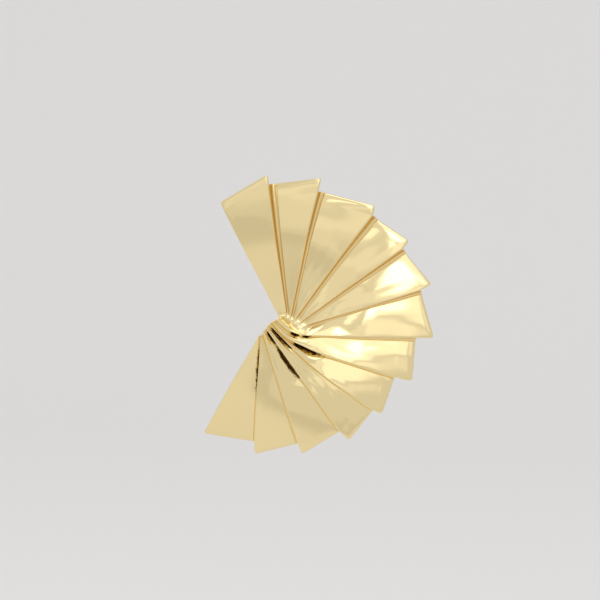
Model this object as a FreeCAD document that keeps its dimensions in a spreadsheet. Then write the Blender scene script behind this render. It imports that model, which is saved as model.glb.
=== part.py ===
"""Fan-shaped stud earring: a cast plate of twelve unlike pleats and a straight ear post.

Frame: +Z up, +X to the right of someone who faces the fan, -Y towards them. The origin is on the
post's axis, where the front of the ear lobe rests against the boss behind the fan. A front is
a distance in front of that lobe plane, so it is measured along -Y. All sizes are in millimetres.
"""

import FreeCAD, Part
import math
import os

import Sketcher
from FreeCAD import Vector

# Driving sizes, each under the name that its cell has in the sheet.
SIZES = {
    "centre_x": -6.19,
    "centre_z": -18.34,
    "wall": 1.2,
    "rim_valley": 2.0,
    "rim_ridge": 3.6,
    "knee_valley": 2.8,
    "knee_ridge": 4.0,
    "hub_back": 1.7,
    "hub_radius": 5.0,
    "hub_blend": 4.0,
    "tip_round": 0.5,
    "boss_radius": 2.2,
    "boss_reach": 2.3,
    "hole_depth": 1.7,
    "seat_radius": 0.6,
    "post_radius": 0.4,
    "post_reach": 10.4,
    "post_gap": 0.03,
}

# Both tables have a row for each fold, clockwise from the free edge at the top left. Places are to
# the right of the fan's centre and above it.
# At the rim a ridge starts at the tip, passes the drop corner, and the riser beyond it comes down
# to a valley, which starts at the root. The first fold is only a valley and the last only a ridge.
RIM_COLUMNS = ("tip_x", "tip_z", "drop_x", "drop_z", "root_x", "root_z")
RIM = (
    (None, None, None, None, -14.25, 24.24),
    (-4.00, 30.24, -3.69, 28.15, -2.17, 28.27),
    (7.34, 29.68, 6.73, 26.85, 7.75, 26.50),
    (18.47, 24.25, 18.10, 22.30, 19.05, 21.01),
    (25.51, 17.21, 24.40, 15.60, 24.60, 14.30),
    (30.23, 8.37, 27.92, 7.18, 27.85, 6.10),
    (30.76, -2.52, 27.19, -2.50, 26.61, -3.40),
    (26.35, -11.48, 22.78, -10.64, 22.30, -11.20),
    (20.15, -18.42, 18.18, -17.50, 17.75, -18.10),
    (13.33, -24.13, 11.33, -22.20, 10.75, -22.60),
    (3.45, -27.35, 2.65, -25.10, 1.91, -25.37),
    (-6.63, -27.69, -6.65, -25.02, -7.21, -25.19),
    (-17.55, -23.73, -17.30, -23.28, None, None),
)
# A ridge bends at its knee and ends in the hub at a front of its own, and so does its valley. The
# riser between them has its own width at the knee.
HUB_COLUMNS = ("knee_x", "knee_z", "knee_riser", "ridge_x", "ridge_z", "ridge_front",
               "valley_x", "valley_z", "valley_front")
HUB = (
    (-7.48, 11.97, 0.0, None, None, None, -1.82, 1.33, 2.9),
    (-1.36, 11.80, 0.9, 0.10, 1.80, 3.3, 0.50, 1.50, 2.9),
    (4.00, 15.50, 0.9, 1.00, 1.25, 3.3, 1.50, 1.05, 2.9),
    (8.80, 10.20, 0.9, 2.10, 0.90, 3.3, 2.70, 0.60, 2.9),
    (11.10, 6.00, 0.8, 3.40, 0.30, 3.3, 3.90, 0.00, 2.9),
    (13.00, 2.20, 0.7, 4.50, -0.40, 3.3, 5.20, -1.10, 2.9),
    (6.00, -2.70, 0.6, -1.73, 0.64, 4.9, -2.05, 0.48, 4.2),
    (2.45, -4.90, 0.6, -2.57, 0.21, 4.8, -2.85, 0.00, 4.1),
    (4.00, -8.30, 0.6, -3.26, -0.32, 4.7, -3.50, -0.60, 4.0),
    (-0.70, -6.10, 0.5, -4.00, -1.17, 4.5, -4.20, -1.45, 3.8),
    (-2.94, -8.21, 0.5, -4.67, -2.11, 4.2, -4.83, -2.40, 3.5),
    (-5.95, -13.00, 0.4, -5.20, -3.05, 3.9, -5.35, -3.00, 3.2),
    (-9.58, -9.62, 0.0, -5.60, -2.87, 3.5, None, None, None),
)
BLADES = range(1, len(RIM))
ROLL = 6            # the ridge that rolls over the inner ends of the blades before it
ROLL_START = 4      # the point of that ridge where the roll starts
BEND_STEPS = 5      # facets along the bend of a fold
BEND_SHARE = 0.7    # a bend's length before its knee, as a share of its length after it
TIP_STEPS = 3       # facets round the corner of a tip


def make_sheet(doc):
    """Put every driving size in a cell of its own, with its name as the cell's alias."""
    sheet = doc.addObject("Spreadsheet::Sheet", "Sizes")
    for row, (name, value) in enumerate(SIZES.items(), start=1):
        sheet.set("A%d" % row, name)
        sheet.set("B%d" % row, str(value))
        sheet.setAlias("B%d" % row, name)
    doc.recompute()
    return sheet


def rim_place(fold, name, front):
    """A named place of a fold on the rim: to the right of the centre, above it, and its front."""
    row = dict(zip(RIM_COLUMNS, RIM[fold]))
    return Vector(row[name + "_x"], row[name + "_z"], front)


def hub_place(fold, name, front=None):
    """A named place of a fold in or near the hub, with the table's own front if none is given."""
    row = dict(zip(HUB_COLUMNS, HUB[fold]))
    if front is None:
        front = row[name + "_front"]
    return Vector(row[name + "_x"], row[name + "_z"], front)


def bent_line(start, knee, end):
    """Points from start to end: straight, then a smooth bend whose corner would be the knee."""
    bend = min(BEND_SHARE * knee.distanceToPoint(end), 0.5 * knee.distanceToPoint(start))
    bend_start = knee + (start - knee).normalize() * bend
    curve = Part.BezierCurve()
    curve.setPoles([bend_start, knee, end])
    bend_points = [curve.value(step / BEND_STEPS) for step in range(BEND_STEPS + 1)]
    return [start] + bend_points


def ridge_line(fold, sheet):
    """A ridge from its drop corner to the hub."""
    start = rim_place(fold, "drop", sheet.rim_ridge)
    knee = hub_place(fold, "knee", sheet.knee_ridge)
    return bent_line(start, knee, hub_place(fold, "ridge"))


def valley_line(fold, sheet):
    """The foot of the riser beyond a fold, or the free edge before the first blade."""
    start = rim_place(fold, "root", sheet.rim_valley)
    knee = hub_place(fold, "knee", 0)
    riser = HUB[fold][HUB_COLUMNS.index("knee_riser")]
    if riser > 0:
        knee += (hub_place(fold + 1, "knee", 0) - knee).normalize() * riser
    knee.z = sheet.knee_valley
    return bent_line(start, knee, hub_place(fold, "valley"))


def tip_corner(fold, root, sheet):
    """The rounded corner of a tip, from the rim's side to the drop corner's side."""
    tip = rim_place(fold, "tip", sheet.rim_ridge)
    drop = rim_place(fold, "drop", sheet.rim_ridge)
    reach = min(2 * sheet.tip_round, 0.5 * tip.distanceToPoint(drop))
    curve = Part.BezierCurve()
    curve.setPoles([tip + (root - tip).normalize() * reach,
                    tip,
                    tip + (drop - tip).normalize() * reach])
    return [curve.value(step / TIP_STEPS) for step in range(TIP_STEPS + 1)]


def shares(line):
    """How far along a line each of its points is, from 0 to 1."""
    lengths = [0.0]
    for before, after in zip(line, line[1:]):
        lengths.append(lengths[-1] + before.distanceToPoint(after))
    return [length / lengths[-1] for length in lengths]


def strip(left, right):
    """Triangles between two lines that run the same way."""
    left_shares = shares(left) + [2.0]
    right_shares = shares(right) + [2.0]
    triangles = []
    i = j = 0
    while i + j < len(left) + len(right) - 2:
        if left_shares[i + 1] <= right_shares[j + 1]:
            triangles.append((left[i], right[j], left[i + 1]))
            i += 1
        else:
            triangles.append((left[i], right[j], right[j + 1]))
            j += 1
    return triangles


def front_triangles(sheet):
    """The pleated front of the whole fan. All corners go round the same way."""
    ridges = {fold: ridge_line(fold, sheet) for fold in BLADES}
    valleys = {fold: valley_line(fold, sheet) for fold in range(len(RIM) - 1)}
    triangles = []
    for blade in BLADES:
        valley, ridge = valleys[blade - 1], ridges[blade]
        rim = tip_corner(blade, valley[0], sheet) + [ridge[0]]
        triangles += [(valley[0], before, after) for before, after in zip(rim, rim[1:])]
        if blade == ROLL:
            ridge = ridge[:ROLL_START + 1]
        triangles += strip(valley, ridge)
    for fold in BLADES[:-1]:
        triangles += strip(ridges[fold], valleys[fold])
    inner_ends = [valleys[0][-1]]
    for fold in range(1, ROLL):
        inner_ends += [ridges[fold][-1], valleys[fold][-1]]
    roll = ridges[ROLL][ROLL_START:]
    triangles += strip(roll[::-1], inner_ends)
    return triangles


def back_of(point, sheet):
    """The point behind a point of the front: a wall away, but on the hub's flat back inside it."""
    out = (Vector(point.x, point.y, 0).Length - sheet.hub_radius) / sheet.hub_blend
    out = min(max(out, 0.0), 1.0)
    front = (point.z - sheet.wall) * out + sheet.hub_back * (1 - out)
    return Vector(point.x, point.y, front)


def open_edges(triangles):
    """The directed edges that belong to one triangle only, which go round the sheet's outline."""
    edges = {}
    for triangle in triangles:
        for start, end in zip(triangle, triangle[1:] + triangle[:1]):
            edges[tuple(start), tuple(end)] = (start, end)
    return [pair for key, pair in edges.items() if (key[1], key[0]) not in edges]


def plate_solid(sheet):
    """The pleated sheet as one closed solid: its front, its back and the walls between them."""
    front = front_triangles(sheet)
    outlines = list(front)
    for first, second, third in front:
        outlines.append((back_of(third, sheet), back_of(second, sheet), back_of(first, sheet)))
    for start, end in open_edges(front):
        outlines.append((end, start, back_of(start, sheet), back_of(end, sheet)))
    faces = []
    for outline in outlines:
        corners = [Vector(sheet.centre_x + p.x, -p.z, sheet.centre_z + p.y) for p in outline]
        faces.append(Part.Face(Part.makePolygon(corners + corners[:1])))
    shell = Part.makeShell(faces)
    shell.sewShape()
    solid = Part.makeSolid(shell)
    if solid.Volume < 0:
        solid.reverse()
    return solid


def circle_sketch(body, name, radius):
    """A circle round the post's axis on the lobe plane, whose radius follows the sheet."""
    plane = [item for item in body.Origin.OriginFeatures if item.Role == "XZ_Plane"][0]
    sketch = body.newObject("Sketcher::SketchObject", name)
    sketch.AttachmentSupport = [(plane, "")]
    sketch.MapMode = "FlatFace"
    sketch.addGeometry(Part.Circle(Vector(0, 0, 0), Vector(0, 0, 1), 1.0), False)
    sketch.addConstraint(Sketcher.Constraint("Coincident", 0, 3, -1, 1))
    sketch.addConstraint(Sketcher.Constraint("Radius", 0, 1.0))
    sketch.renameConstraint(1, "radius")
    sketch.setExpression("Constraints.radius", radius)
    return sketch


def make_fan_plate(doc, sheet):
    """The cast plate with the boss behind it and the blind hole that takes the post."""
    casting = doc.addObject("Part::Feature", "pleated_sheet")
    casting.Shape = plate_solid(sheet)
    body = doc.addObject("PartDesign::Body", "fan_plate")
    body.BaseFeature = casting

    boss = body.newObject("PartDesign::Pad", "boss")
    boss.Profile = circle_sketch(body, "boss_circle", "Sizes.boss_radius")
    boss.setExpression("Length", "Sizes.boss_reach")
    boss.Refine = False
    doc.recompute()
    volume = boss.Shape.Volume

    hole = body.newObject("PartDesign::Pocket", "post_hole")
    hole.Profile = circle_sketch(body, "hole_circle", "Sizes.seat_radius + Sizes.post_gap")
    hole.setExpression("Length", "Sizes.hole_depth")
    hole.Reversed = True
    hole.Refine = False
    doc.recompute()
    removed = volume - hole.Shape.Volume
    print("plate %.1f mm3, hole %.2f mm3" % (volume, removed))
    if removed < 0.5:
        raise ValueError("the post's hole cuts nothing")
    return body


def post_sketch(body):
    """Half the post's outline, from the seat's flat end up to the pin's round tip."""
    plane = [item for item in body.Origin.OriginFeatures if item.Role == "XY_Plane"][0]
    sketch = body.newObject("Sketcher::SketchObject", "post_outline")
    sketch.AttachmentSupport = [(plane, "")]
    sketch.MapMode = "FlatFace"
    seat, pin, reach = 2.0, 1.0, 5.0
    corners = [Vector(0, -seat, 0), Vector(seat, -seat, 0), Vector(seat, 0, 0),
               Vector(pin, 0, 0), Vector(pin, reach, 0)]
    for start, end in zip(corners, corners[1:]):
        sketch.addGeometry(Part.LineSegment(start, end), False)
    circle = Part.Circle(Vector(0, reach, 0), Vector(0, 0, 1), pin)
    sketch.addGeometry(Part.ArcOfCircle(circle, 0, math.pi / 2), False)
    sketch.addGeometry(Part.LineSegment(Vector(0, reach + pin, 0), corners[0]), False)
    for line in range(6):
        sketch.addConstraint(Sketcher.Constraint("Coincident", line, 2, (line + 1) % 6, 1))
    for flat_line in (0, 2):
        sketch.addConstraint(Sketcher.Constraint("Horizontal", flat_line))
    for upright_line in (1, 3, 5):
        sketch.addConstraint(Sketcher.Constraint("Vertical", upright_line))
    sketch.addConstraint(Sketcher.Constraint("PointOnObject", 5, 1, -2))
    sketch.addConstraint(Sketcher.Constraint("PointOnObject", 4, 3, -2))
    sketch.addConstraint(Sketcher.Constraint("Horizontal", 4, 3, 4, 1))
    sketch.addConstraint(Sketcher.Constraint("PointOnObject", 2, 1, -1))
    sizes = (("seat_width", "DistanceX", 0, "Sizes.seat_radius", seat),
             ("seat_depth", "DistanceY", 1, "Sizes.hole_depth - Sizes.post_gap", seat),
             ("pin_length", "DistanceY", 3, "Sizes.post_reach - Sizes.post_radius", reach))
    for name, kind, line, cells, value in sizes:
        number = sketch.addConstraint(Sketcher.Constraint(kind, line, 1, line, 2, value))
        sketch.renameConstraint(number, name)
        sketch.setExpression("Constraints." + name, cells)
    number = sketch.addConstraint(Sketcher.Constraint("Radius", 4, pin))
    sketch.renameConstraint(number, "pin_radius")
    sketch.setExpression("Constraints.pin_radius", "Sizes.post_radius")
    return sketch


def make_ear_post(doc):
    """The straight pin: a thicker seat in the boss, then the pin that goes through the lobe."""
    body = doc.addObject("PartDesign::Body", "ear_post")
    outline = post_sketch(body)
    post = body.newObject("PartDesign::Revolution", "turned_post")
    post.Profile = outline
    post.ReferenceAxis = (outline, ["V_Axis"])
    post.Angle = 360
    doc.recompute()
    return body


def check(doc, bodies):
    """Stop if an object of the document failed or a sub-part isn't one valid solid."""
    for item in doc.Objects:
        if "Invalid" in item.State or "Error" in item.State:
            raise ValueError("%s failed: %s" % (item.Label, item.State))
    for body in bodies:
        shape = body.Shape
        if shape.isNull() or not shape.isValid() or len(shape.Solids) != 1:
            raise ValueError("%s isn't one valid solid" % body.Label)
        box = shape.BoundBox
        print("%s: %.1f mm3, %.1f x %.1f x %.1f mm, %d faces" % (
            body.Label, shape.Volume, box.XLength, box.YLength, box.ZLength, len(shape.Faces)))


def main():
    doc = FreeCAD.newDocument("FanEarring")
    sheet = make_sheet(doc)
    bodies = [make_fan_plate(doc, sheet), make_ear_post(doc)]
    check(doc, bodies)
    os.makedirs("parts", exist_ok=True)
    for body in bodies:
        body.Shape.exportStep("parts/%s.step" % body.Label)


main()
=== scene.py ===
import math

import bpy
import numpy as np
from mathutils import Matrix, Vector, noise

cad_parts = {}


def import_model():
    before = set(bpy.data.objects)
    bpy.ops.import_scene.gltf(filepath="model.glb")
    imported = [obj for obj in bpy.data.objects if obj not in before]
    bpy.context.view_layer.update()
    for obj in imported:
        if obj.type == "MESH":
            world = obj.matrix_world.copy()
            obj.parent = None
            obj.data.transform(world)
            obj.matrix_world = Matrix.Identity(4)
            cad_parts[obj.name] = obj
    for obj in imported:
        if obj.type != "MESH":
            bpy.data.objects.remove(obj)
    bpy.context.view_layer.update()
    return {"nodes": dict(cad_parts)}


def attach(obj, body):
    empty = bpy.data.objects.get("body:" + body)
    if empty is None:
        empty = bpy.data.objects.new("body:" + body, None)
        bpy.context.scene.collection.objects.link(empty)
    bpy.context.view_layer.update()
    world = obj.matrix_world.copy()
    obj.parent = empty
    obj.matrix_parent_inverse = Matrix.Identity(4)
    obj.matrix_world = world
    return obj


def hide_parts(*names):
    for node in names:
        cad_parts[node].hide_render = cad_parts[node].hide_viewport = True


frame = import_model()

MM = 0.001

# The fan. Sizes are in millimetres. Places are to the right of the fan's centre and above it, and
# a front is a distance in front of the plane that the ear lobe rests on.
CENTRE_X, CENTRE_Z = -6.19, -18.34
WALL = 1.2
RIM_RIDGE = 3.6          # the front of every ridge at the rim
# How far each blade rises from its valley to its ridge at the rim, from the first to the last.
RIM_STEPS = (1.6, 1.5, 1.5, 1.15, 1.4, 1.45, 1.5, 1.4, 1.3, 1.5, 1.6, 1.6)
KNEE_VALLEY, KNEE_RIDGE = 3.1, 3.95
KNEE_DROPS = {4: 0.25, 5: 0.35}    # how much lower these ridges are at the knee
# Behind the hub the back is flat at this front, up to a radius, and then blends into the pleats.
HUB_BACK, HUB_RADIUS, HUB_BLEND = 1.7, 5.0, 4.0
# Both tables have a row for each fold, clockwise from the free edge at the top left. At the rim a
# ridge starts at the tip and passes the drop corner, and the valley beyond it starts at the root.
TIP_X, TIP_Z, DROP_X, DROP_Z, ROOT_X, ROOT_Z = range(6)
RIM = (
    (None, None, None, None, -14.25, 24.24),
    (-4.00, 30.24, -3.69, 28.15, -2.17, 28.27),
    (7.34, 29.68, 6.73, 26.85, 7.75, 26.50),
    (18.47, 24.25, 18.10, 22.30, 19.05, 21.01),
    (25.51, 17.21, 24.40, 15.60, 24.60, 14.30),
    (30.23, 8.37, 27.92, 7.18, 27.85, 6.10),
    (30.76, -2.52, 27.19, -2.50, 26.61, -3.40),
    (26.35, -11.48, 22.78, -10.64, 22.30, -11.20),
    (20.15, -18.42, 18.18, -17.50, 17.75, -18.10),
    (13.33, -24.13, 11.33, -22.20, 10.75, -22.60),
    (3.45, -27.35, 2.65, -25.10, 1.91, -25.37),
    (-6.63, -27.69, -6.65, -25.02, -7.21, -25.19),
    (-17.55, -23.73, -17.30, -23.28, None, None),
)
# Towards the hub a fold bends round its knee, where its riser has a width, and its ridge and its
# valley end at the places and fronts given last.
(KNEE_X, KNEE_Z, KNEE_RISER, RIDGE_X, RIDGE_Z, RIDGE_FRONT,
 VALLEY_X, VALLEY_Z, VALLEY_FRONT) = range(9)
HUB = (
    (-7.48, 11.97, 0.0, None, None, None, -1.82, 1.33, 2.9),
    (-1.36, 11.80, 0.9, 0.10, 1.80, 3.3, 0.50, 1.50, 2.9),
    (4.00, 15.50, 0.9, 1.00, 1.25, 3.3, 1.50, 1.05, 2.9),
    (8.80, 10.20, 0.9, 2.10, 0.90, 3.3, 2.70, 0.60, 2.9),
    (11.10, 6.00, 0.8, 3.40, 0.30, 3.3, 3.90, 0.00, 2.9),
    (13.00, 2.20, 0.7, 4.50, -0.40, 3.3, 5.20, -1.10, 2.9),
    (6.00, -2.70, 0.6, -1.73, 0.64, 4.9, -2.05, 0.48, 4.2),
    (2.45, -4.90, 0.6, -2.57, 0.21, 4.8, -2.85, 0.00, 4.1),
    (4.00, -8.30, 0.6, -3.26, -0.32, 4.7, -3.50, -0.60, 4.0),
    (-0.70, -6.10, 0.5, -4.00, -1.17, 4.5, -4.20, -1.45, 3.8),
    (-2.94, -8.21, 0.5, -4.67, -2.11, 4.2, -4.83, -2.40, 3.5),
    (-5.95, -13.00, 0.4, -5.20, -3.05, 3.9, -5.35, -3.00, 3.2),
    (-9.58, -9.62, 0.0, -5.60, -2.87, 3.5, None, None, None),
)
LAST = len(RIM) - 1
# From the rim a line runs straight and then bends round its knee.
BEND_SHARE = 0.7         # a bend's length before its knee, as a share of its length after it
STRAIGHT_POINTS, BEND_POINTS = 20, 41
# The rows of faces in the outer part of a fold, and in the part of a lower fold that is gathered
# at the hub.
RIM_ROWS, HUB_ROWS = 12, 9
DROP_ROW = 3             # the row that starts at the drop corner
LEAST_DROP = 2.0         # how far from the tip that row starts at least
HUB_LENGTH = 8.0         # how far the gathered part reaches
NEXT_HUB_LENGTH = 7.0    # the same for the valley next to the roll
# The ridge that rolls over the inner ends of the blades before it.
ROLL = 6
ROLL_SHARE = 0.6         # where the roll starts along that ridge's bend
ROLL_FADE = 5            # the rows over which the roll grows from its start
ROLL_INSET = 0.5         # about how far before the roll's start the last inner end meets it
# From the roll's ridge up over its back: how far, and how much lower than the ridge.
ROLL_PROFILE = ((0.30, 0.06), (0.75, 0.50), (0.95, 1.40))
# From the blades' inner ends towards the roll: the share of the way, and how much higher it is.
END_PROFILE = ((0.15, 0.12), (0.45, 0.30), (0.75, 0.15), (0.93, -0.05))
# The edges.
EDGE = 0.22              # half the width of a rounded edge
TIP_EDGE = 1.0           # the same at the corners of the rim
EDGE_LIMIT = 0.22        # the most that an edge takes of a blade's width
WALL_EDGE_LIMIT = 0.3    # the most that an edge takes of the wall's thickness
TIP_CUT = 0.12           # how much shorter a worn tip is than the sharp one
RIM_CURL = (0.09, 0.02)  # how far the first rows bend back at the rim
# Across a blade: where points lie besides those at its edges, and by what share it is steeper at
# its valley and flatter at its ridge.
BLADE_SHARES = (0.25, 0.5, 0.75)
CONVEX = 0.28
# Across a riser: the share of its width, the share of its step that is still above the valley, and
# how much a painted gold-on-gold reflection deepens its colour there.
RISER_PROFILE = ((0.12, 0.85, 0.7), (0.34, -0.08, 1.0), (0.60, 0.12, 0.0), (0.84, -0.12, 0.9))
LOWER_PAINTED_REFLECTION = 0.3         # how much the painted reflection deepens the colour on the risers below the roll, against the others
# Where a ridge and the foot beyond it sag near the hub: the ridge, start and stop from the hub end,
# and how far down.
SAGS = (
    (6, 0.2, 11.0, 1.25),
    (7, 0.5, 8.0, 0.7),
)
SAG_LEAN = 0.7           # below 1 the deepest part is nearer the hub
# Deep pockets along a valley near the hub: the valley, where the pocket starts and stops along it
# from the hub end, how deep it is and how much it widens the riser.
POCKETS = (
    (6, 0.0, 2.0, 0.5, 0.1),
    (7, 3.6, 6.0, 0.8, 0.15),
    (7, 6.2, 8.6, 0.6, 0.1),
    (8, 5.5, 13.0, 0.9, 0.25),
    (9, 0.3, 7.5, 0.9, 0.15),
    (10, 0.3, 4.0, 0.7, 0.1),
    (10, 3.0, 13.5, 0.5, 0.35),
    (12, 0.3, 13.0, 0.3, 0.0),
)
POCKET_LIMIT = 0.3       # the most that a pocket widens its riser, as a share of the blade's width
POCKET_REACH = 0.45      # the share of a blade's width that a pocket reaches over
HOLLOW_POWER = 1.2       # above 1 a sag or pocket runs out softly at its two ends
# The painted shade in the pockets.
DARK_DEPTH = 0.4         # a pocket this deep is as dark as they get
DARK_POWER = 0.7         # below 1 a shallow pocket is nearly as dark
DARK_REACH = 0.7         # how far over a blade the dark of a pocket reaches
# The surface, with the slight waves of a casting and the streaks of its polish, which run outwards
# and are so many to a radian.
ROUNDING_LEVEL = 2
WAVE_LENGTH, WAVE_DEPTH, WAVE_SLICE = 5.5, 0.045, 0.0
STREAKS, STREAK_LENGTH, STREAK_DEPTH, STREAK_SLICE = 14.0, 12.0, 0.016, 5.0
# The fine pleats near the hub: the blade, how far out from the centre they reach, how many there
# are and how high they stand. They keep a share of the blade's width clear at its sides, and fade
# out over a length.
PLEATS = (
    (1, 7.0, 2, 0.03),
    (2, 8.0, 2, 0.03),
    (3, 9.0, 3, 0.04),
    (4, 9.0, 2, 0.03),
    (7, 9.0, 2, 0.05),
    (8, 8.0, 3, 0.06),
    (9, 14.0, 3, 0.07),
    (10, 12.0, 2, 0.05),
)
PLEAT_MARGIN, PLEAT_FADE = 0.05, 4.0
# The blades bulge most at a distance from the centre, and less over the lengths inside and outside
# it.
DOME_TOP, DOME_INNER, DOME_OUTER, DOME_HEIGHT = 19.0, 9.0, 11.0, 0.33
# The boss's outline from the hole's bottom round to the plate: radius, front.
BOSS_SIDES = 32
BOSS_PROFILE = (
    (0.30, 1.70), (0.57, 1.70), (0.63, 1.64), (0.63, 0.85), (0.63, 0.06),
    (0.69, 0.00), (1.40, 0.00), (2.05, 0.00), (2.20, 0.15), (2.20, 1.20),
    (2.20, 2.50), (2.10, 2.60), (1.00, 2.60),
)
# Behind the second blade the plate's back is further to the front, and the boss's foot steps up to
# it: the front from which the foot counts, how far, and the turn round the fan's centre past which.
FOOT_FRONT, FOOT_STEP, FOOT_TURN = 2.4, 0.55, 75.5
# The colours, as red, green, blue and cover, and how rough the surfaces are, from 0 to 1.
PLATING_COLOUR = (0.90, 0.74, 0.40, 1)
# The next colour is a painted reflection: the deeper gold that gold-on-gold reflections give in the
# creases.
PAINTED_REFLECTION_COLOUR = (0.72, 0.46, 0.14, 1)
# The next colour is painted shade, dark in the pockets by the hub.
PAINTED_SHADE_COLOUR = (0.10, 0.052, 0.008, 1)
STEEL_COLOUR = (0.62, 0.61, 0.59, 1)
FLOOR_COLOUR = (0.88, 0.87, 0.86, 1)
WHITE = (1.0, 1.0, 1.0, 1)
PLATING_ROUGHNESS, PAINTED_SHADE_ROUGHNESS, STEEL_ROUGHNESS, FLOOR_ROUGHNESS = 0.08, 0.45, 0.25, 0.95
# Painted shade starts and is full where its darkness and the speckles, from 0 to 1, add up to
# these.
PAINTED_SHADE_START, PAINTED_SHADE_FULL = 0.85, 1.15
SPECKLE_SCALE, SPECKLE_DETAIL = 1800.0, 3.0
# The softboxes in front: where each starts and stops in degrees above the fan and in degrees to the
# right of its front, and how much brighter than the room it is. The last is overhead.
SOFTBOXES = (
    (1.5, 8.5, -42.0, -22.0, 0.09),
    (6.5, 8.5, -22.0, 4.0, 0.08),
    (8.5, 11.8, -42.0, 4.0, 0.18),
    (7.5, 11.8, -13.0, -2.0, 0.20),
    (13.1, 45.0, -35.0, -17.0, 0.08),
    (13.1, 45.0, -17.0, 4.5, 0.50),
    (13.1, 45.0, 4.5, 16.0, 0.24),
    (12.3, 22.0, -16.0, -10.5, 1.20),
    (16.3, 19.0, -10.5, -3.6, 0.80),
    (15.5, 19.0, -25.0, -20.2, 0.60),
    (50.0, 80.0, -50.0, 50.0, 1.20),
)
SOFTBOX_DISTANCE = 0.9   # in metres
WORLD_RADIANCE = 0.77    # how bright the room is
# The floor, in metres: its level, half its width and how far it reaches to the front. Behind the
# fan it sweeps up from a start, round a radius, to the backdrop's top.
FLOOR_LEVEL, FLOOR_HALF, FLOOR_FRONT = -0.16, 2.4, 3.4
SWEEP_START, SWEEP_RADIUS, SWEEP_STEPS, BACKDROP_TOP = 0.7, 0.7, 24, 1.4
# The camera: its turn to the right and its height in degrees, the point that it looks at, which is
# to the right of the origin and above it in the picture, in millimetres, the picture's width in
# pixels, how many of them are a millimetre, and the lens and sensor in millimetres.
VIEW_AZIMUTH, VIEW_ELEVATION = 13, 6
VIEW_RIGHT, VIEW_UP = -3.89, -13.92
PICTURE_WIDTH, PIXELS_PER_MM = 600, 4.886
LENS, SENSOR = 150, 36


def bent_line(start, knee, end):
    """Close points from start to end: straight, then a bend whose corner would be the knee."""
    start, knee, end = (np.array(place, float) for place in (start, knee, end))
    out, on = start - knee, end - knee
    reach = min(BEND_SHARE * np.linalg.norm(on), 0.5 * np.linalg.norm(out))
    bend_start = knee + out / np.linalg.norm(out) * reach
    t = np.linspace(0, 1, BEND_POINTS)[:, None]
    curve = (1 - t) ** 2 * bend_start + 2 * t * (1 - t) * knee + t ** 2 * end
    shares = np.linspace(0, 1, STRAIGHT_POINTS, endpoint=False)[:, None]
    straight = start + shares * (bend_start - start)
    return np.vstack([straight, curve])


def ridge_line(fold):
    rim, hub = RIM[fold], HUB[fold]
    tip = np.array((rim[TIP_X], rim[TIP_Z], RIM_RIDGE))
    drop = np.array((rim[DROP_X], rim[DROP_Z], RIM_RIDGE))
    tip += (drop - tip) / np.linalg.norm(drop - tip) * TIP_CUT
    knee = (hub[KNEE_X], hub[KNEE_Z], KNEE_RIDGE - KNEE_DROPS.get(fold, 0.0))
    line = bent_line(drop, knee, (hub[RIDGE_X], hub[RIDGE_Z], hub[RIDGE_FRONT]))
    return np.vstack([[tip], line])


def valley_line(blade):
    """The foot of a blade on the side of the fold before it."""
    rim, hub = RIM[blade - 1], HUB[blade - 1]
    knee = np.array((hub[KNEE_X], hub[KNEE_Z], KNEE_VALLEY))
    if hub[KNEE_RISER] > 0:
        way = np.array((HUB[blade][KNEE_X], HUB[blade][KNEE_Z], KNEE_VALLEY)) - knee
        knee += way / np.linalg.norm(way) * hub[KNEE_RISER]
    root = (rim[ROOT_X], rim[ROOT_Z], RIM_RIDGE - RIM_STEPS[blade - 1])
    return bent_line(root, knee, (hub[VALLEY_X], hub[VALLEY_Z], hub[VALLEY_FRONT]))


def lengths(line):
    """How far along a line each of its points is."""
    steps = np.linalg.norm(np.diff(line, axis=0), axis=1)
    return np.concatenate([[0.0], np.cumsum(steps)])


def ends(line):
    """How far each point of a line is from the line's end."""
    along = lengths(line)
    return along[-1] - along


def at(line, distances):
    """The points of a line at distances along it."""
    along = lengths(line)
    return np.stack([np.interp(distances, along, line[:, axis]) for axis in range(3)], axis=1)


def row_distances(line, drop, gathered, hub_length):
    """Where the rows cross a line: close by the rim and the drop corner, then even."""
    total = lengths(line)[-1]
    outer_end = total - hub_length if gathered else total
    near = [0.0, TIP_EDGE, drop - EDGE, drop, drop + EDGE]
    rows = near + list(np.linspace(drop + EDGE, outer_end, RIM_ROWS - len(near) + 2)[1:])
    if gathered:
        rows += list(np.linspace(outer_end, total - EDGE, HUB_ROWS)[1:]) + [total]
    return np.array(rows)


def pocket(blade, to_end):
    """How deep and how wide the pockets along a blade's valley are at a distance from its end."""
    deep = np.zeros(len(to_end))
    wide = np.zeros(len(to_end))
    for valley, start, stop, depth, width in POCKETS:
        if valley == blade:
            inside = np.clip((to_end - start) / (stop - start), 0, 1)
            window = np.sin(np.pi * inside) ** HOLLOW_POWER
            deep = np.maximum(deep, depth * window)
            wide = np.maximum(wide, width * window)
    return deep, wide


def sag(fold, line):
    """A ridge or foot with its sag near the hub."""
    line = line.copy()
    to_end = ends(line)
    for ridge, start, stop, down in SAGS:
        if ridge == fold:
            inside = np.clip((to_end - start) / (stop - start), 0, 1)
            line[:, 1] -= down * np.sin(np.pi * inside ** SAG_LEAN) ** HOLLOW_POWER
    return line


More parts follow.
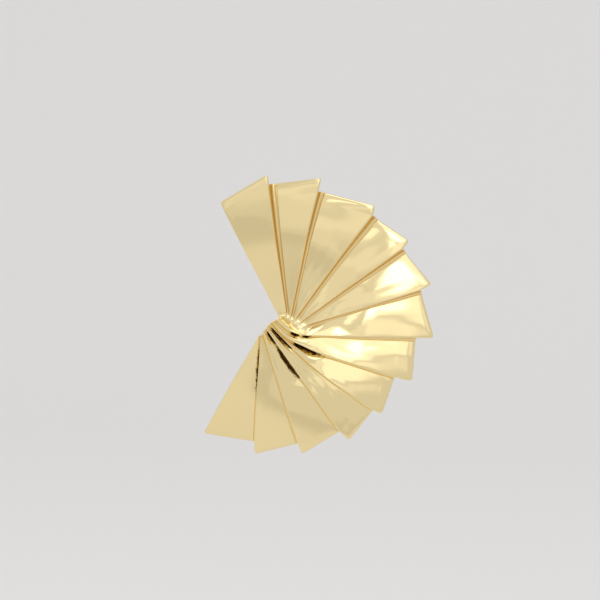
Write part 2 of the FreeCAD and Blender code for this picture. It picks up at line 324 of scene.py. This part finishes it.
def fold_rows():
    """The points of every ridge and valley at its rows, and how deep the pockets are, by blade."""
    ridges, valleys, depths = {}, {}, {}
    roll_start = 1 + STRAIGHT_POINTS + int((BEND_POINTS - 1) * ROLL_SHARE)
    for blade in range(1, LAST + 1):
        ridge, valley = sag(blade, ridge_line(blade)), sag(blade - 1, valley_line(blade))
        drop = max(np.linalg.norm(ridge[1] - ridge[0]), LEAST_DROP)
        ridge_length = ends(ridge)[roll_start] if blade == ROLL else HUB_LENGTH
        valley_length = NEXT_HUB_LENGTH if blade == ROLL + 1 else HUB_LENGTH
        ridges[blade] = at(ridge, row_distances(ridge, drop, blade >= ROLL, ridge_length))
        rows = row_distances(valley, drop, blade > ROLL, valley_length)
        points = at(valley, rows)
        deep, wide = pocket(blade, rows[-1] - rows)
        points[:, 2] -= deep
        count = min(len(points), len(ridges[blade]))
        across = ridges[blade][:count] - points[:count]
        width = np.linalg.norm(across[:, :2], axis=1, keepdims=True)
        widened = np.minimum(wide[:count, None], POCKET_LIMIT * width)
        points[:count, :2] += across[:, :2] / width * widened
        valleys[blade] = points
        for row, curl in enumerate(RIM_CURL):
            points[row, 2] -= curl
            ridges[blade][row, 2] -= curl
        depths[blade] = deep
    return ridges, valleys, depths


class Sheet:
    """The front of the fan as a cage of faces, with each point's place in the folds beside it."""

    def __init__(self):
        self.points = []
        self.plain = []      # the front without its fine relief, which the back follows
        self.dark = []       # how dark the painted shade in the hollows is, from 0 to 1
        self.deep = []       # how much a painted gold-on-gold reflection deepens the gold's colour, as in a crease
        self.across = []     # the number of the blade, and the share of the way across it
        self.faces = []

    def add(self, point, plain, dark=0.0, deep=0.0, across=0.0):
        self.points.append(tuple(point))
        self.plain.append(plain)
        self.dark.append(dark)
        self.deep.append(deep)
        self.across.append(across)
        return len(self.points) - 1

    def face(self, *corners):
        ring = [c for i, c in enumerate(corners) if c != corners[i - 1]]
        if len(ring) > 2:
            self.faces.append(ring)

    def join(self, left, right):
        for k in range(min(len(left), len(right)) - 1):
            self.face(left[k], right[k], right[k + 1], left[k + 1])

    def zip(self, left, right):
        """Triangles between two rows of points that run the same way."""
        place = np.array(self.points)
        left_at = list(lengths(place[left]) / lengths(place[left])[-1]) + [math.inf]
        right_at = list(lengths(place[right]) / lengths(place[right])[-1]) + [math.inf]
        i = j = 0
        while i + j < len(left) + len(right) - 2:
            if left_at[i + 1] <= right_at[j + 1]:
                self.face(left[i], right[j], left[i + 1])
                i += 1
            else:
                self.face(left[i], right[j], right[j + 1])
                j += 1


def edge_share(left, right):
    """The share of the way across at which a rounded edge ends, row by row."""
    width = np.linalg.norm(right - left, axis=1)
    edge = np.full(len(left), EDGE)
    edge[:2] = TIP_EDGE
    return np.minimum(edge, EDGE_LIMIT * width) / width


def add_line(sheet, line, dark, across):
    """A column of points on a ridge or valley."""
    return [sheet.add(point, point[2], tone, 0.0, across) for point, tone in zip(line, dark)]


def add_between(sheet, left, right, share, lift, dark, deep, across):
    """A column of points at a share of the way from one line to another, lifted off it."""
    share = np.broadcast_to(share, len(left))[:, None]
    line = left + (right - left) * share
    column = []
    for point, up, tone in zip(line, np.broadcast_to(lift, len(left)), dark):
        place = (point[0], point[1], point[2] + up)
        column.append(sheet.add(place, point[2], tone, deep, across))
    return column


def fan_front():
    """The whole pleated front, from the first blade's free edge round to the last one's."""
    ridges, valleys, depths = fold_rows()
    sheet = Sheet()
    inner = []
    before = None
    for blade in range(1, LAST + 1):
        valley, ridge = valleys[blade], ridges[blade]
        count = min(len(valley), len(ridge))
        # How dark the painted shade in this blade's pockets is, darker where a pocket is deeper.
        tone = np.minimum(1.0, depths[blade] / DARK_DEPTH) ** DARK_POWER
        valley_ids = add_line(sheet, valley, tone, blade)
        if before is not None:
            riser_rows = np.maximum(np.arange(len(valley)), DROP_ROW)
            start = ridges[blade - 1][riser_rows]
            columns = [[before[row] for row in riser_rows]]
            step = start[:, 2] - valley[:, 2]
            for share, height, deep in RISER_PROFILE:
                lift = (height - (1 - share)) * step
                # The painted shade of a pocket spreads onto the riser, and a painted gold-on-gold
                # reflection deepens the riser's colour.
                dark = tone * share ** 0.5
                colour = deep * (1.0 if blade <= ROLL else LOWER_PAINTED_REFLECTION)
                columns.append(add_between(sheet, start, valley, share, lift, dark, colour, blade))
            columns.append(valley_ids)
            for left, right in zip(columns, columns[1:]):
                sheet.join(left, right)
            if blade <= ROLL:
                inner += [column[RIM_ROWS] for column in columns[1:-1]]
        near = edge_share(valley[:count], ridge[:count])
        depth = depths[blade][:count]
        step = ridge[:count, 2] - valley[:count, 2] - depth
        width = np.linalg.norm(ridge[:count] - valley[:count], axis=1)
        columns = [valley_ids]
        for share in (near, *BLADE_SHARES, 1 - near):
            lift = CONVEX * step * share * (1 - share)
            lift = lift + depth * (1 - share - np.clip(1 - share / POCKET_REACH, 0, 1))
            # The painted shade of a pocket reaches over the blade from its valley.
            dark = np.clip(1 - share * width / DARK_REACH, 0, 1) * tone[:count]
            place = blade + float(np.mean(share))
            columns.append(add_between(sheet, valley[:count], ridge[:count], share, lift, dark,
                                       0.0, place))
        ridge_ids = add_line(sheet, ridge, np.zeros(len(ridge)), blade + 1)
        columns.append(ridge_ids)
        for left, right in zip(columns, columns[1:]):
            sheet.join(left, right)
        if blade <= ROLL:
            inner += [column[RIM_ROWS] for column in columns[:-1]]
        if blade < ROLL:
            inner.append(ridge_ids[RIM_ROWS])
        if blade == ROLL:
            roll = ridge_ids[RIM_ROWS:]
        before = ridge_ids
    close_roll(sheet, inner, roll)
    return sheet


def close_roll(sheet, inner, roll):
    """The rolled edge above the hub, which covers the inner ends of the upper blades."""
    line = np.array([sheet.points[i] for i in roll])
    along = np.gradient(line[:, :2], axis=0)
    side = np.stack([-along[:, 1], along[:, 0]], axis=1)
    side /= np.linalg.norm(side, axis=1, keepdims=True)
    if side[len(side) // 2][1] < 0:
        side = -side
    before = roll
    for reach, down in ROLL_PROFILE:
        shelf = [roll[0]]
        for k in range(1, len(roll)):
            fade = min(1.0, k / ROLL_FADE)
            x, z = line[k, :2] + side[k] * reach * fade
            shelf.append(sheet.add((x, z, line[k, 2] - down * fade), line[k, 2]))
        sheet.join(shelf, before)
        before = shelf
    foot = np.array([sheet.points[i] for i in before])[::-1]
    start = np.array([sheet.points[i] for i in inner])
    along = lengths(start)
    end = at(foot, along / (along[-1] + ROLL_INSET) * lengths(foot)[-1])
    level = start[:, 2].mean()
    rows = [inner]
    for share, lift in END_PROFILE:
        row = []
        for point, goal in zip(start, end):
            x, z = point[:2] + (goal[:2] - point[:2]) * share
            front = level + (goal[2] - level) * share ** 2 + (point[2] - level) * (1 - share) ** 3
            row.append(sheet.add((x, z, front + lift), front))
        rows.append(row)
    for above, below in zip(rows, rows[1:]):
        sheet.join(below, above)
    last = [row[-1] for row in rows]
    sheet.zip(before[::-1], rows[-1] + [roll[0]])
    for above, below in zip(last, last[1:]):
        sheet.face(below, above, roll[0])


def back_front(x, z, front):
    """The front distance of the back, behind a point of the plain front."""
    out = np.clip((np.hypot(x, z) - HUB_RADIUS) / HUB_BLEND, 0, 1)
    return (front - WALL) * out + HUB_BACK * (1 - out)


def fan_cage():
    """The closed cage: the front, the back and the walls round the outline."""
    sheet = fan_front()
    front = np.array(sheet.points)
    back = front.copy()
    back[:, 2] = back_front(front[:, 0], front[:, 1], np.array(sheet.plain))
    count = len(front)
    points = [tuple(p) for p in front] + [tuple(p) for p in back]
    # The painted shade in the pockets and the painted reflection on the risers, for the material.
    looks = {"painted_shade": sheet.dark + [0.0] * count,
             "deep": sheet.deep + sheet.deep,
             "across": sheet.across + [0.0] * count}
    faces = [list(face) for face in sheet.faces]
    faces += [[corner + count for corner in reversed(face)] for face in sheet.faces]
    edges = {}
    for face in sheet.faces:
        for start, end in zip(face, face[1:] + face[:1]):
            edges[start, end] = True
    outline = [edge for edge in edges if edge[::-1] not in edges]
    rims = {}
    for corner in sorted({corner for edge in outline for corner in edge}):
        x, z, top = points[corner]
        foot = points[corner + count][2]
        step = min(EDGE, WALL_EDGE_LIMIT * (top - foot))
        ring = [corner]
        for height in (top - step, foot + step):
            points.append((x, z, height))
            for values in looks.values():
                values.append(0.0)
            ring.append(len(points) - 1)
        rims[corner] = ring + [corner + count]
    for start, end in outline:
        for k in range(3):
            faces.append([rims[end][k], rims[start][k], rims[start][k + 1], rims[end][k + 1]])
    return points, faces, looks


def add_boss(points, faces):
    """The round boss behind the plate, with a blind hole for the post, as a closed turned shape."""
    x, z = -CENTRE_X, -CENTRE_Z
    turns = np.linspace(0, 2 * math.pi, BOSS_SIDES, endpoint=False)
    rings = []
    for radius, front in BOSS_PROFILE:
        rings.append(range(len(points), len(points) + BOSS_SIDES))
        for turn in turns:
            right, above = x + radius * math.cos(turn), z + radius * math.sin(turn)
            beyond = front > FOOT_FRONT and math.degrees(math.atan2(above, right)) > FOOT_TURN
            points.append((right, above, front + FOOT_STEP * beyond))
    for front in (BOSS_PROFILE[0][1], BOSS_PROFILE[-1][1]):
        points.append((x, z, front))
    bottom, top = len(points) - 2, len(points) - 1
    for i in range(BOSS_SIDES):
        after = (i + 1) % BOSS_SIDES
        for inner, outer in zip(rings, rings[1:]):
            faces.append([inner[i], inner[after], outer[after], outer[i]])
        faces.append([rings[0][after], rings[0][i], bottom])
        faces.append([rings[-1][i], rings[-1][after], top])


def world(points):
    """Fan places and fronts, in millimetres, as points of the part's frame, in metres."""
    return np.stack([(points[:, 0] + CENTRE_X) * MM,
                     -points[:, 2] * MM,
                     (points[:, 1] + CENTRE_Z) * MM], axis=1)


def rounded(cage):
    """The smooth surface that a cage stands for."""
    rounding = cage.modifiers.new("rounded edges", "SUBSURF")
    rounding.levels = rounding.render_levels = ROUNDING_LEVEL
    bpy.context.view_layer.update()
    surface = cage.evaluated_get(bpy.context.evaluated_depsgraph_get())
    mesh = bpy.data.meshes.new_from_object(surface)
    cage.modifiers.clear()
    cage.data = mesh


def dome(out):
    """How far the blades bulge forward at a distance from the fan's centre."""
    if out > DOME_TOP:
        return DOME_HEIGHT * (1 - ((out - DOME_TOP) / DOME_OUTER) ** 2)
    inner = min(1.0, (DOME_TOP - out) / DOME_INNER)
    return DOME_HEIGHT * (1 + math.cos(math.pi * inner)) / 2


def pleat(blade_share, out):
    """The fine pleats in the gathered feet of some blades, at a share of the way across a blade."""
    blade, share = int(blade_share), blade_share % 1
    for number, stop, count, height in PLEATS:
        if number == blade and out < stop and PLEAT_MARGIN < share < 1 - PLEAT_MARGIN:
            fade = min(1.0, (stop - out) / PLEAT_FADE) * math.sin(math.pi * share) ** 0.5
            return height * fade * math.sin(2 * math.pi * count * share)
    return 0.0


def add_cast_waves(mesh):
    """The plate's bulge, the slight waves of a polished casting, and the fine pleats by the hub."""
    flat = np.empty(len(mesh.vertices) * 3)
    mesh.vertices.foreach_get("co", flat)
    points = flat.reshape(-1, 3)
    right = points[:, 0] / MM - CENTRE_X
    above = points[:, 2] / MM - CENTRE_Z
    out = np.hypot(right, above)
    turn = np.arctan2(above, right)
    blade_share = np.empty(len(points))
    mesh.attributes["across"].data.foreach_get("value", blade_share)
    still = np.empty(len(points))
    mesh.attributes["still"].data.foreach_get("value", still)
    for i in np.flatnonzero(still < 0.5):
        wave = noise.noise(Vector((right[i] / WAVE_LENGTH, above[i] / WAVE_LENGTH, WAVE_SLICE)))
        streak = noise.noise(Vector((turn[i] * STREAKS, out[i] / STREAK_LENGTH, STREAK_SLICE)))
        fade = min(1.0, out[i] / STREAK_LENGTH)
        relief = wave * WAVE_DEPTH + streak * STREAK_DEPTH * fade - dome(out[i])
        points[i, 1] += (relief - pleat(blade_share[i], out[i])) * MM
    mesh.vertices.foreach_set("co", points.ravel())
    mesh.update()


def make_fan():
    """The fan and its boss as one piece, with the attributes that its material reads."""
    points, faces, looks = fan_cage()
    plate_count = len(points)
    add_boss(points, faces)
    looks["still"] = [0.0] * plate_count + [1.0] * (len(points) - plate_count)
    mesh = bpy.data.meshes.new("fan")
    mesh.from_pydata([tuple(p) for p in world(np.array(points))], [], faces)
    for name, values in looks.items():
        values += [0.0] * (len(points) - len(values))
        mesh.attributes.new(name, "FLOAT", "POINT").data.foreach_set("value", values)
    mesh.polygons.foreach_set("use_smooth", [True] * len(mesh.polygons))
    fan = bpy.data.objects.new("fan", mesh)
    bpy.context.scene.collection.objects.link(fan)
    rounded(fan)
    add_cast_waves(fan.data)
    return fan


def gold():
    """Polished pale gold plating, with painted shade in the pockets and a painted gold-on-gold
    reflection that deepens the colour on the risers, where its attributes say.
    """
    material = bpy.data.materials.new("pale_gold")
    material.use_nodes = True
    nodes, links = material.node_tree.nodes, material.node_tree.links
    shader = nodes["Principled BSDF"]
    shader.inputs["Metallic"].default_value = 1.0
    # The painted shade in the pockets, with speckles that break up its edge.
    place = nodes.new("ShaderNodeTexCoord")
    speckle = nodes.new("ShaderNodeTexNoise")
    speckle.inputs["Scale"].default_value = SPECKLE_SCALE
    speckle.inputs["Detail"].default_value = SPECKLE_DETAIL
    links.new(place.outputs["Object"], speckle.inputs["Vector"])
    dark = nodes.new("ShaderNodeAttribute")
    dark.attribute_name = "painted_shade"
    total = nodes.new("ShaderNodeMath")
    total.operation = "ADD"
    links.new(dark.outputs["Fac"], total.inputs[0])
    links.new(speckle.outputs["Fac"], total.inputs[1])
    steps = nodes.new("ShaderNodeMapRange")
    steps.inputs["From Min"].default_value = PAINTED_SHADE_START
    steps.inputs["From Max"].default_value = PAINTED_SHADE_FULL
    links.new(total.outputs["Value"], steps.inputs["Value"])
    # The painted gold-on-gold reflection that deepens the colour on the risers.
    painted_reflection = nodes.new("ShaderNodeAttribute")
    painted_reflection.attribute_name = "deep"
    plating_and_painted_reflection = nodes.new("ShaderNodeMix")
    plating_and_painted_reflection.data_type = "RGBA"
    plating_and_painted_reflection.inputs["A"].default_value = PLATING_COLOUR
    plating_and_painted_reflection.inputs["B"].default_value = PAINTED_REFLECTION_COLOUR
    links.new(painted_reflection.outputs["Fac"], plating_and_painted_reflection.inputs["Factor"])
    colour = nodes.new("ShaderNodeMix")
    colour.data_type = "RGBA"
    links.new(plating_and_painted_reflection.outputs["Result"], colour.inputs["A"])
    colour.inputs["B"].default_value = PAINTED_SHADE_COLOUR
    links.new(steps.outputs["Result"], colour.inputs["Factor"])
    links.new(colour.outputs["Result"], shader.inputs["Base Color"])
    # Where the painted shade is, the surface is also rougher.
    rough = nodes.new("ShaderNodeMapRange")
    rough.inputs["To Min"].default_value = PLATING_ROUGHNESS
    rough.inputs["To Max"].default_value = PAINTED_SHADE_ROUGHNESS
    links.new(steps.outputs["Result"], rough.inputs["Value"])
    links.new(rough.outputs["Result"], shader.inputs["Roughness"])
    return material


def steel():
    material = bpy.data.materials.new("post_steel")
    material.use_nodes = True
    shader = material.node_tree.nodes["Principled BSDF"]
    shader.inputs["Base Color"].default_value = STEEL_COLOUR
    shader.inputs["Metallic"].default_value = 1.0
    shader.inputs["Roughness"].default_value = STEEL_ROUGHNESS
    return material


def add_softbox(name, lower, upper, left, right, radiance):
    """A soft light in front of the fan, whose edges are given in degrees."""
    azimuth, middle = math.radians((left + right) / 2), math.radians((lower + upper) / 2)
    level = math.cos(middle)
    direction = Vector((math.sin(azimuth) * level, -math.cos(azimuth) * level, math.sin(middle)))
    data = bpy.data.lights.new(name, "AREA")
    data.shape = "RECTANGLE"
    spread, rise = math.radians(right - left), math.radians(upper - lower)
    data.size = 2 * SOFTBOX_DISTANCE * level * math.tan(spread / 2)
    data.size_y = 2 * SOFTBOX_DISTANCE * math.tan(rise / 2)
    data.energy = radiance * math.pi * data.size * data.size_y
    light = bpy.data.objects.new(name, data)
    light.location = direction * SOFTBOX_DISTANCE + Vector((0, 0, CENTRE_Z * MM))
    light.rotation_euler = (-direction).to_track_quat("-Z", "Y").to_euler()
    light.visible_camera = False
    bpy.context.scene.collection.objects.link(light)


def make_stage():
    """A pale floor that sweeps up into a backdrop well behind the fan."""
    outline = [(-FLOOR_FRONT, FLOOR_LEVEL)]
    for step in range(SWEEP_STEPS + 1):
        turn = step / SWEEP_STEPS * math.pi / 2
        outline.append((SWEEP_START + SWEEP_RADIUS * math.sin(turn),
                        FLOOR_LEVEL + SWEEP_RADIUS * (1 - math.cos(turn))))
    outline.append((SWEEP_START + SWEEP_RADIUS, BACKDROP_TOP))
    points = [(side * FLOOR_HALF, y, z) for y, z in outline for side in (-1, 1)]
    faces = [(2 * i, 2 * i + 1, 2 * i + 3, 2 * i + 2) for i in range(len(outline) - 1)]
    mesh = bpy.data.meshes.new("floor")
    mesh.from_pydata(points, [], faces)
    mesh.polygons.foreach_set("use_smooth", [True] * len(faces))
    floor = bpy.data.objects.new("floor", mesh)
    material = bpy.data.materials.new("floor_paint")
    material.use_nodes = True
    shader = material.node_tree.nodes["Principled BSDF"]
    shader.inputs["Base Color"].default_value = FLOOR_COLOUR
    shader.inputs["Roughness"].default_value = FLOOR_ROUGHNESS
    mesh.materials.append(material)
    bpy.context.scene.collection.objects.link(floor)


def make_world():
    surroundings = bpy.data.worlds.new("studio")
    surroundings.use_nodes = True
    background = surroundings.node_tree.nodes["Background"]
    background.inputs["Color"].default_value = WHITE
    background.inputs["Strength"].default_value = WORLD_RADIANCE
    bpy.context.scene.world = surroundings


def make_camera():
    azimuth, elevation = math.radians(VIEW_AZIMUTH), math.radians(VIEW_ELEVATION)
    right = Vector((math.cos(azimuth), math.sin(azimuth), 0))
    level = math.cos(elevation)
    back = Vector((math.sin(azimuth) * level, -math.cos(azimuth) * level, math.sin(elevation)))
    up = back.cross(right)
    target = (right * VIEW_RIGHT + up * VIEW_UP) * MM
    data = bpy.data.cameras.new("camera")
    data.lens = LENS
    data.sensor_width = SENSOR
    distance = PICTURE_WIDTH / PIXELS_PER_MM * MM * LENS / SENSOR
    camera = bpy.data.objects.new("camera", data)
    camera.location = target + back * distance
    camera.rotation_euler = (-back).to_track_quat("-Z", "Y").to_euler()
    bpy.context.scene.collection.objects.link(camera)
    bpy.context.scene.camera = camera


fan = make_fan()
fan.data.materials.append(gold())
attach(fan, "root")
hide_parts("fan_plate")

post = frame["nodes"]["ear_post"]
post.data.materials.clear()
post.data.materials.append(steel())

make_stage()
make_world()
for number, box in enumerate(SOFTBOXES):
    add_softbox("softbox_%d" % (number + 1), *box)
make_camera()
bpy.context.scene.view_settings.view_transform = "Standard"
